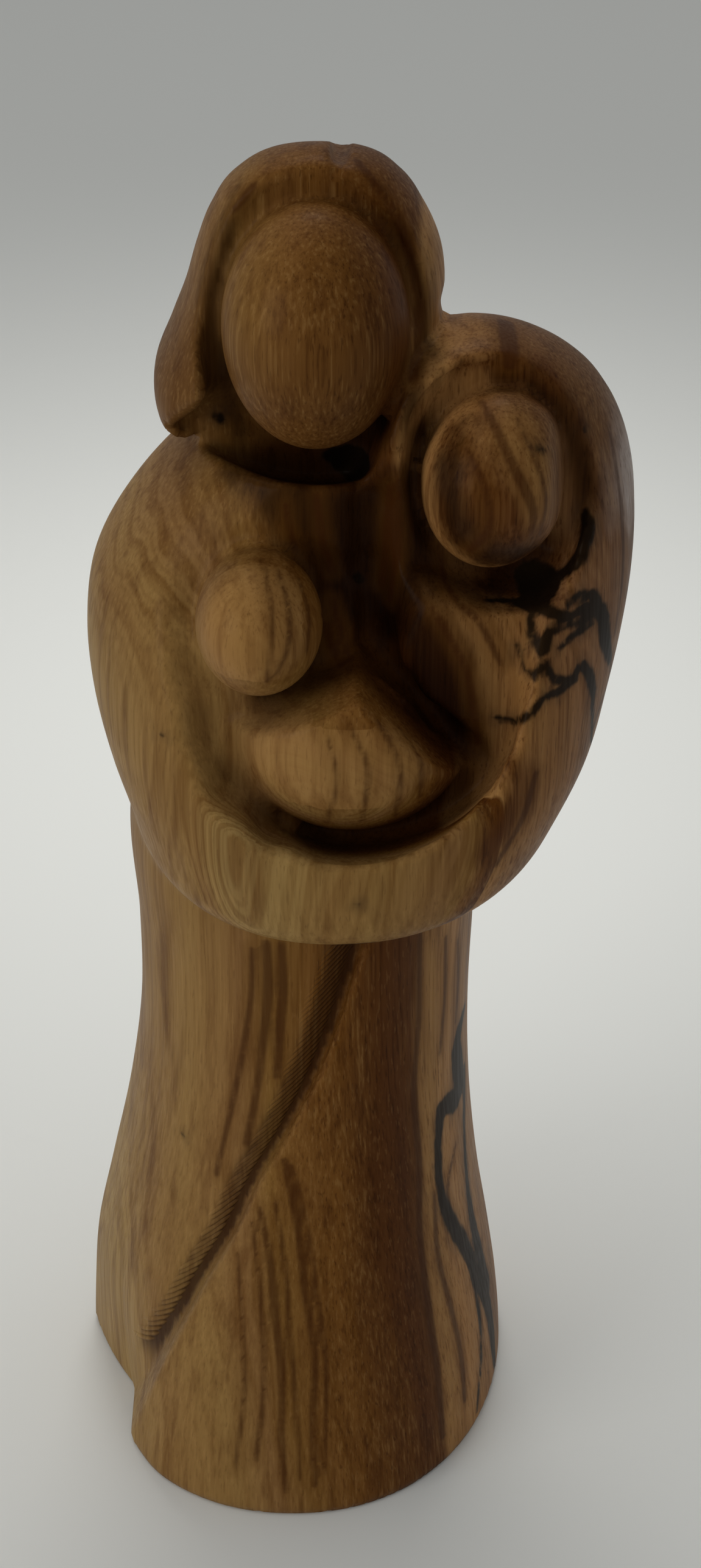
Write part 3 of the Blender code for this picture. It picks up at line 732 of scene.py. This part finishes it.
# painted shade: dark brown strokes under the lip over the first chest, down that chest, and round both faces
# in the hoods' hollows
PAINTED_SHADE = (
    ((370, 770, 0.6), (430, 805, 2.2), (500, 835, 3.4), (580, 855, 4.2), (640, 840, 4.0), (672, 790, 1.8)),
    ((530, 850, 2.4), (540, 900, 2.0), (552, 950, 0.8)),
    ((600, 860, 2.4), (590, 920, 2.0), (592, 980, 0.8)),
    ((780, 690, 0.4), (752, 735, 1.0), (742, 790, 1.6), (750, 850, 2.2)),
    ((820, 620, 0.4), (880, 640, 1.0), (940, 720, 1.2), (960, 800, 1.2), (955, 870, 1.0)),
    ((728, 760, 1.0), (742, 830, 2.0), (775, 890, 2.6), (830, 918, 2.6), (880, 900, 1.4)),
    ((395, 330, 0.4), (368, 400, 0.8), (355, 480, 1.1), (355, 560, 1.3), (370, 640, 1.4), (400, 705, 1.2)),
    ((690, 700, 1.2), (690, 800, 1.8), (680, 900, 2.2), (672, 980, 1.6)),
    ((655, 380, 0.6), (690, 480, 1.2), (692, 580, 1.4), (672, 670, 1.4), (640, 720, 1.0)),
)
PALE = (
    ((722, 1010, 0.5), (755, 1062, 1.2), (785, 1140, 1.3), (797, 1200, 0.7)),
    ((712, 1560, 1.6), (708, 1750, 1.6), (705, 1880, 1.0), (706, 1960, 0.8), (722, 2100, 0.8),
     (738, 2200, 1.0), (745, 2320, 1.2)),
    ((842, 705, 1.6), (880, 780, 1.8), (868, 850, 1.4)),
    ((420, 1010, 6.0), (400, 1060, 5.5)),
    ((450, 1250, 3.6), (560, 1280, 6.5), (640, 1260, 4.0)),
    ((705, 420, 1.4), (704, 600, 1.0)),
)
print("heart", len(HEART), "painted_shade", len(PAINTED_SHADE), "pale", len(PALE))


# %% How far each point is from the strokes
STROKE_STEP = 14  # pixels


def drawn(strokes):
    """Every stroke as a smooth line of many points on the wood, with its half width at each."""
    lines = []
    for stroke in strokes:
        u, v, half = np.array(stroke, float).T
        run = np.concatenate([[0.0], np.cumsum(np.hypot(np.diff(u), np.diff(v)))])
        at = np.linspace(0.0, run[-1], max(2, int(run[-1] / STROKE_STEP)))
        lines.append(np.stack([through(run, side, at) for side in (u, v, half)], axis=1))
    ends = np.cumsum([len(line) for line in lines])[:-1]
    every = np.concatenate(lines)
    return zip(np.split(on_wood(every[:, :2]), ends), np.split(every[:, 2], ends))


def far_from(strokes, p, seam=0.2):
    """Distance in millimetres to the nearest stroke, negative inside it."""
    found = np.full(p.shape[1], 30.0)
    for at, half in drawn(strokes):
        near = np.all((p.T > at.min(axis=0) - 5.0) & (p.T < at.max(axis=0) + 5.0), axis=1)
        found[near] = np.minimum(found[near], chain(p[:, near], at, half, seam))
    return found


# thin lines are drawn this much wider, in millimetres, so that they stay whole on the skin's net
BLACK_WIDER, RINGS_WIDER = 0.05, 0.15
p = (points_of(finished) / MM).T
black = far_from(BLACK, p) - BLACK_WIDER
rings = far_from(RINGS, p) - RINGS_WIDER
heart = far_from(HEART, p)
painted_shade = far_from(PAINTED_SHADE, p)
pale = far_from(PALE, p)
print("points on black", int((black < 0).sum()), "on rings", int((rings < 0).sum()))

# %% [markdown]
# ## Across the branch, and in the hollows
# Three more values are kept at the points. One is the distance from the heart line of the branch, which
# runs up the right of the front: the growth bands follow it. One tells how deep a point lies under the
# rough block of the figures: deep wood is rougher, because the sandpaper never reached it, and it is painted
# browner, partly as the unsanded wood and partly as painted shade in the hollows. The last is the channel,
# whose dark is partly the cut wood and partly painted shade between the ridges.

# %% Distance from the heart line, depth in the block, and the hatched channel
HEART_LINE = (
    (0.0, 16.6), (30.0, 13.6), (60.0, 12.0), (85.0, 13.0), (110.0, 16.0), (128.0, 9.0), (150.0, 11.0),
    (166.0, 12.0),
)
ARMS_SHIFT = 24.0
RIDGE_RISE = 0.14
heart_height, heart_x = zip(*HEART_LINE)
across = p[0] - through(heart_height, heart_x, p[2])
# the arms stand out of the heart wood, so it shows further right on them
across -= ARMS_SHIFT * step(-21.5, -26.0, p[1]) * step(72.0, 82.0, p[2]) * step(112.0, 98.0, p[2])
block = smooth_min(smooth_min(robe(p), cloak(p), 1.0), hood(p), 1.0)
deep = np.clip(-block, 0.0, 14.0)
value = wood(p)
beside = (through(edge_height, edge_x, p[2]) - p[0]) * 0.84
wide = np.interp(p[2], CHANNEL_HEIGHTS, CHANNEL_WIDTHS)
channel = step(-0.1, 0.2, beside) * step(0.95, 0.6, beside / wide) * step(HATCH_LOW - 6.0, HATCH_LOW, p[2])
# the tops of the ridges keep the skirt's own tone, most so near the floor; the channel between them is
# painted dark, partly cut wood and partly painted shade
lands = np.interp(p[2], (15.0, 45.0, 80.0), (0.85, 0.45, 0.2)) * np.clip(value / RIDGE_RISE, 0.0, 1.0)
channel *= (p[1] < 0.0) * (p[2] < HATCH_HIGH + 2.0) * (1.0 - lands)
for name, values in (("black", black), ("rings", rings), ("heart", heart), ("painted_shade", painted_shade), ("pale", pale),
                     ("across", across), ("deep", deep), ("channel", channel)):
    layer = finished.attributes.new(name, "FLOAT", "POINT")
    layer.data.foreach_set("value", values.astype(np.float32))
print("deep share", (deep > 3.0).mean().round(3), "hatched", (channel > 0.3).mean().round(4))

# %% [markdown]
# ## Waxed olive wood
# Olive wood (Olea europaea) is dense and fine, honey coloured with brown heart. Carved, sanded and rubbed
# with wax it has a satin sheen, clearer on the outer curves than in the rough hollows. The pattern is
# solid: it is worked out from the place inside the branch in millimetres, so bands run through every form
# as they do in the real block, and end grain shows on top of shoulders and hoods.


# %% Colours
def tone(code):
    """An sRGB hex colour as linear red, green, blue and alpha."""
    parts = [int(code[i : i + 2], 16) / 255 for i in (1, 3, 5)]
    return (*(c / 12.92 if c <= 0.04045 else ((c + 0.055) / 1.055) ** 2.4 for c in parts), 1.0)


olive.use_nodes = True
wood_tree = olive.node_tree
shader = wood_tree.nodes["Principled BSDF"]
place = node(wood_tree, "ShaderNodeTexCoord").outputs["Object"]
mm = node(wood_tree, "ShaderNodeVectorMath", {"operation": "SCALE"}, {0: place, "Scale": 1000.0}).outputs[0]
kept_value = {
    name: node(wood_tree, "ShaderNodeAttribute", {"attribute_name": name}).outputs["Fac"]
    for name in ("black", "rings", "heart", "painted_shade", "pale", "across", "deep", "channel")
}
print("colours ready,", len(kept_value), "values read")


# %% Short names for the nodes of the wood, and noise stretched along the grain
# Each has its kind, its settings, the sockets it is given in order, and the number of its output. ease and
# even take a value from one range to another, over lays a colour over another, and darken multiplies them.
RANGE_SOCKETS = ("Value", "From Min", "From Max", "To Min", "To Max")
SHORT = {
    "plus": ("ShaderNodeMath", {"operation": "ADD"}, (0, 1), 0),
    "times": ("ShaderNodeMath", {"operation": "MULTIPLY"}, (0, 1), 0),
    "power": ("ShaderNodeMath", {"operation": "POWER"}, (0, 1), 0),
    "sine": ("ShaderNodeMath", {"operation": "SINE"}, (0,), 0),
    "size": ("ShaderNodeMath", {"operation": "ABSOLUTE"}, (0,), 0),
    "ease": ("ShaderNodeMapRange", {"interpolation_type": "SMOOTHSTEP"}, RANGE_SOCKETS, 0),
    "even": ("ShaderNodeMapRange", {"interpolation_type": "LINEAR"}, RANGE_SOCKETS, 0),
    "over": ("ShaderNodeMix", {"data_type": "RGBA", "blend_type": "MIX"}, (6, 7, "Factor"), 2),
    "darken": ("ShaderNodeMix", {"data_type": "RGBA", "blend_type": "MULTIPLY"}, (6, 7, "Factor"), 2),
    "stretched": ("ShaderNodeVectorMath", {"operation": "MULTIPLY"}, (0, 1), 0),
    "moved": ("ShaderNodeVectorMath", {"operation": "ADD"}, (0, 1), 0),
    "noise": ("ShaderNodeTexNoise", {}, ("Vector", "Scale", "Detail"), 0),
}


def wire(name, *values):
    """Adds the node of that short name, fills or links its sockets, and gives its output."""
    kind, settings, sockets, output = SHORT[name]
    return node(wood_tree, kind, settings, dict(zip(sockets, values))).outputs[output]


def grain_noise(across_mm, along_mm, detail=3.0, shift=0.0):
    """Noise whose patches are about that wide across the grain and that long along it."""
    patches = wire("stretched", mm, (1 / across_mm, 1 / across_mm, 1 / along_mm))
    return wire("noise", wire("moved", patches, (shift,) * 3), 1.0, detail)


# %% Growth bands across the branch
# The sapwood at the left is honey coloured, the heart at 0 dark, and a pale band follows right of it.
drift = wire("even", grain_noise(26.0, 75.0, 2.0), 0.25, 0.75, -4.0, 4.0)
waver = wire("even", grain_noise(4.5, 30.0, 2.0, 7.0), 0.25, 0.75, -0.7, 0.7)
# the heart's right border is crisp and keeps its place, and the bands wander more, the further off they are
HEART_BORDER = 2.8
from_border = wire("size", wire("plus", kept_value["across"], -HEART_BORDER))
loose = wire("ease", from_border, 1.0, 14.0, 0.0, 1.0)
drift = wire("times", drift, loose)
waver = wire("times", waver, wire("ease", loose, 0.0, 0.3, 0.25, 1.0))
bent = wire("plus", kept_value["across"], wire("plus", drift, waver))
BANDS = (
    (-48.0, "#866B40"), (-38.0, "#987A48"), (-31.0, "#8A683A"), (-26.0, "#8F6E3E"), (-20.0, "#87633A"),
    (-15.0, "#84602F"), (-11.0, "#7B5428"), (-7.0, "#70481D"), (-3.0, "#5D3816"), (0.0, "#5A3413"),
    (2.4, "#552F10"), (3.2, "#9A7040"), (7.0, "#A47644"), (10.0, "#8C6236"), (15.0, "#8A603C"),
    (24.0, "#7A5434"), (32.0, "#82593A"),
)
LEFTMOST, RIGHTMOST = BANDS[0][0], BANDS[-1][0]
along_ramp = wire("even", bent, LEFTMOST, RIGHTMOST, 0.0, 1.0)
ramp = node(wood_tree, "ShaderNodeValToRGB", inputs={0: along_ramp})
stops = ramp.color_ramp.elements
for i, (at, code) in enumerate(BANDS):
    stop = stops[0] if i == 0 else stops.new((at - LEFTMOST) / (RIGHTMOST - LEFTMOST))
    stop.color = tone(code)
colour = ramp.outputs["Color"]
print("growth bands", len(BANDS))

# %% Fine rings
# Years and the finer lines between them: distance in millimetres, sharpness and strength.
FINE_RINGS = ((3.3, 3.5, 0.44), (1.15, 2.0, 0.22))
swell = grain_noise(9.0, 40.0, 2.0, 3.0)
for period, sharp, strength in FINE_RINGS:
    turn = wire("plus", wire("times", bent, 2 * np.pi / period), wire("times", swell, 9.0))
    line = wire("power", wire("ease", wire("sine", turn), -1, 1, 0, 1), sharp)
    here = wire("times", wire("times", line, wire("ease", swell, 0.35, 0.65, 0.1, 1.0)), strength)
    colour = wire("over", colour, tone("#5E380E"), here)
cloud = grain_noise(8.0, 22.0, 2.0, 31.0)
colour = wire("over", colour, tone("#6A4520"), wire("ease", cloud, 0.50, 0.75, 0.0, 0.30))


# %% Broad tints: the top of the branch, pale stripes, heart, and painted shade in the deep cuts and hollows
def inside(name, wander, edge, patch=(2.2, 9.0)):
    """1 inside a stroke and 0 outside, with an edge that wanders."""
    noise = wire("even", grain_noise(*patch, 3.0, 41.0 + edge), 0.25, 0.75, -wander, wander)
    return wire("ease", wire("plus", kept_value[name], noise), edge, -edge, 0.0, 1.0)


fibre = grain_noise(0.36, 24.0, 3.0, 11.0)
ripe = wire("ease", bent, -18.0, -5.0, 0.45, 1.0)
deep = kept_value["deep"]
height = node(wood_tree, "ShaderNodeSeparateXYZ", inputs={0: mm}).outputs[2]
# the wood is a darker brown from 122 mm up, strongest near 142 mm, but for the pale band beside the heart
high = wire("ease", height, 142.0, 156.0, 1.0, 0.30)
sides = wire("plus", wire("ease", bent, 4.0, 0.0, 0.0, 1.0), wire("ease", bent, 9.0, 13.0, 0.0, 1.0))
high = wire("times", wire("ease", height, 122.0, 142.0, 0.0, 0.78), high)
colour = wire("over", colour, tone("#5C3B1A"), wire("times", high, sides))
colour = wire("over", colour, tone("#A47A46"), wire("times", inside("pale", 0.9, 2.2), 0.62))
heart = inside("heart", 1.4, 1.7)
streaked = wire("ease", fibre, 0.35, 0.65, 0.70, 0.95)
colour = wire("over", colour, tone("#502B0D"), wire("times", heart, streaked))
# painted shade: the deeper a point lies under the block, the darker brown it is painted, partly as the
# unsanded wood and partly as the shade in the hollows
hollow_shade = wire("ease", deep, 1.2, 8.0, 0.0, 1.0)
colour = wire("over", colour, tone("#321603"), wire("times", hollow_shade, 0.84))
# painted shade, darkest where the heart wood lies deep in a hollow
heart_in_hollow_shade = wire("times", heart, wire("ease", deep, 2.0, 8.0, 0.0, 0.85))
colour = wire("over", colour, tone("#180602"), heart_in_hollow_shade)
# painted shade along the shade strokes, under the lip and round the hollows
painted_shade = inside("painted_shade", 1.2, 2.4)
colour = wire("over", colour, tone("#241003"), wire("times", painted_shade, 0.88))

# %% Fibres and pores, which run through every tint
pale_here = wire("ease", wire("plus", wire("plus", heart, painted_shade), hollow_shade), 0.0, 0.9, 1.0, 0.05)
dark_fibres = wire("ease", fibre, 0.50, 0.72, 0.0, 0.46)
colour = wire("darken", colour, tone("#8A6238"), wire("times", dark_fibres, ripe))
light_fibres = wire("ease", fibre, 0.48, 0.28, 0.0, 0.18)
colour = wire("over", colour, tone("#B48C54"), wire("times", light_fibres, pale_here))
stripe = grain_noise(1.7, 70.0, 2.0, 17.0)
colour = wire("darken", colour, tone("#986E44"), wire("ease", stripe, 0.50, 0.70, 0.0, 0.34))
pores = wire("ease", grain_noise(0.22, 2.6, 1.0, 23.0), 0.62, 0.72, 0.0, 0.45)
colour = wire("darken", colour, tone("#7A5430"), wire("times", pores, ripe))
# pale flecks, only on the skirts and left of the heart
flecks = wire("ease", grain_noise(0.28, 1.8, 1.0, 61.0), 0.60, 0.70, 0.0, 0.14)
flecks = wire("times", flecks, wire("ease", height, 85.0, 70.0, 0.0, 1.0))
flecks = wire("times", flecks, wire("ease", bent, 2.6, 1.5, 0.0, 1.0))
colour = wire("over", colour, tone("#A07848"), flecks)

# %% Ring lines, black zone lines, and the hatched channel, whose dark is partly painted shade
beside_rings = wire("ease", kept_value["rings"], 1.6, 0.1, 0.0, 1.0)
colour = wire("over", colour, tone("#5C3812"), wire("times", beside_rings, 0.30))
colour = wire("over", colour, tone("#3A1B07"), wire("times", inside("rings", 0.08, 0.30), 0.70))
# the black strokes under the chins are painted shadow, the rest are zone lines and knots
halo = inside("black", 1.2, 1.6, (1.6, 5.0))
colour = wire("over", colour, tone("#2E2018"), wire("times", halo, 0.55))
colour = wire("over", colour, tone("#0B0705"), wire("times", inside("black", 0.22, 0.30, (1.0, 2.6)), 0.95))
# the hatched channel is painted dark between the ridges: partly the freshly cut wood, partly painted shade
colour = wire("over", colour, tone("#2A1206"), wire("times", kept_value["channel"], 0.88))
wood_tree.links.new(colour, shader.inputs["Base Color"])

# %% Sheen of the wax and the touch of the knife
gouge = grain_noise(0.5, 0.5, 4.0, 53.0)
rough = wire("plus", wire("ease", deep, 1.0, 6.0, 0.50, 0.64), wire("ease", fibre, 0.3, 0.7, -0.04, 0.08))
wood_tree.links.new(rough, shader.inputs["Roughness"])
gouged = wire("times", gouge, wire("ease", deep, 2.0, 6.0, 0.0, 1.0))
relief = wire("plus", wire("times", fibre, 0.3), wire("times", gouged, 1.2))
bump = node(wood_tree, "ShaderNodeBump", inputs={"Strength": 0.35, "Distance": 0.12 * MM, "Height": relief})
wood_tree.links.new(bump.outputs[0], shader.inputs["Normal"])
# a thin warm sheen, because a stronger or whiter one greys the dark wood
shader.inputs["Specular IOR Level"].default_value = 0.17
shader.inputs["Specular Tint"].default_value = tone("#C8924A")
shader.inputs["Coat Weight"].default_value = 0.03
shader.inputs["Coat Roughness"].default_value = 0.22
print("wood has", len(wood_tree.nodes), "nodes")

# %% [markdown]
# ## Handing the carving over
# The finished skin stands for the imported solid, which stays underneath for collisions.

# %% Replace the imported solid
figure.name = "carved_family"
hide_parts("holy_family")
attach(figure, "root")

# %% [markdown]
# ## Table, light and camera
# The photograph shows a plain pale table, lit softly from all round and most on the table behind the
# carving, so the wood looks darker than the table. The camera looks down by 33 degrees.

# %% Pale table
floor_mesh = mesh_with("table_top", [(-3, -2, 0), (3, -2, 0), (3, 4, 0), (-3, 4, 0)], [(0, 1, 2, 3)])
table_top = bpy.data.objects.new("table_top", floor_mesh)
bpy.context.scene.collection.objects.link(table_top)
# a matt sheet whose even pale grey lets the dark wood stand out
paper = bpy.data.materials.new("pale_matt_paper")
paper.use_nodes = True
paper.node_tree.nodes["Principled BSDF"].inputs["Base Color"].default_value = tone("#E4E4DE")
paper.node_tree.nodes["Principled BSDF"].inputs["Roughness"].default_value = 0.85
floor_mesh.materials.append(paper)

# %% Soft light
world = bpy.data.worlds.new("room")
bpy.context.scene.world = world
world.use_nodes = True
world.node_tree.nodes["Background"].inputs["Color"].default_value = tone("#E6E8EA")
world.node_tree.nodes["Background"].inputs["Strength"].default_value = 0.43
# colours come out as they are given, without a film curve that greys the dark wood
bpy.context.scene.view_settings.view_transform = "Standard"


def soft_light(name, at, aim, width, watts, spread=180.0):
    """A square lamp at a place, turned towards another, whose beam is that many degrees wide."""
    lamp = bpy.data.lights.new(name, "AREA")
    lamp.size = width
    lamp.energy = watts
    lamp.spread = np.radians(spread)
    thing = bpy.data.objects.new(name, lamp)
    bpy.context.scene.collection.objects.link(thing)
    thing.location = at
    x, y, z = np.subtract(at, aim)
    thing.rotation_euler = (np.arctan2(np.hypot(x, y), z), 0, np.arctan2(x, -y))


soft_light("window_behind", (0.0, 0.30, 0.50), (0.0, 0.13, 0.0), 0.20, 0.12, 48.0)
soft_light("ceiling", (-0.15, 0.05, 0.90), (0.0, 0.0, 0.08), 0.60, 0.80)
soft_light("room_left", (-0.60, -0.45, 0.25), (0.0, 0.0, 0.08), 0.40, 1.60)

# %% Camera
lens = bpy.data.cameras.new("camera")
lens.sensor_width = 36.0
lens.lens = 36.0 * FOCAL / max(PICTURE)
lens.clip_start = 0.01
camera = bpy.data.objects.new("camera", lens)
camera.location = EYE * MM
camera.rotation_euler = (np.pi / 2 - LOOKS_DOWN, 0.0, 0.0)
bpy.context.scene.collection.objects.link(camera)
bpy.context.scene.camera = camera
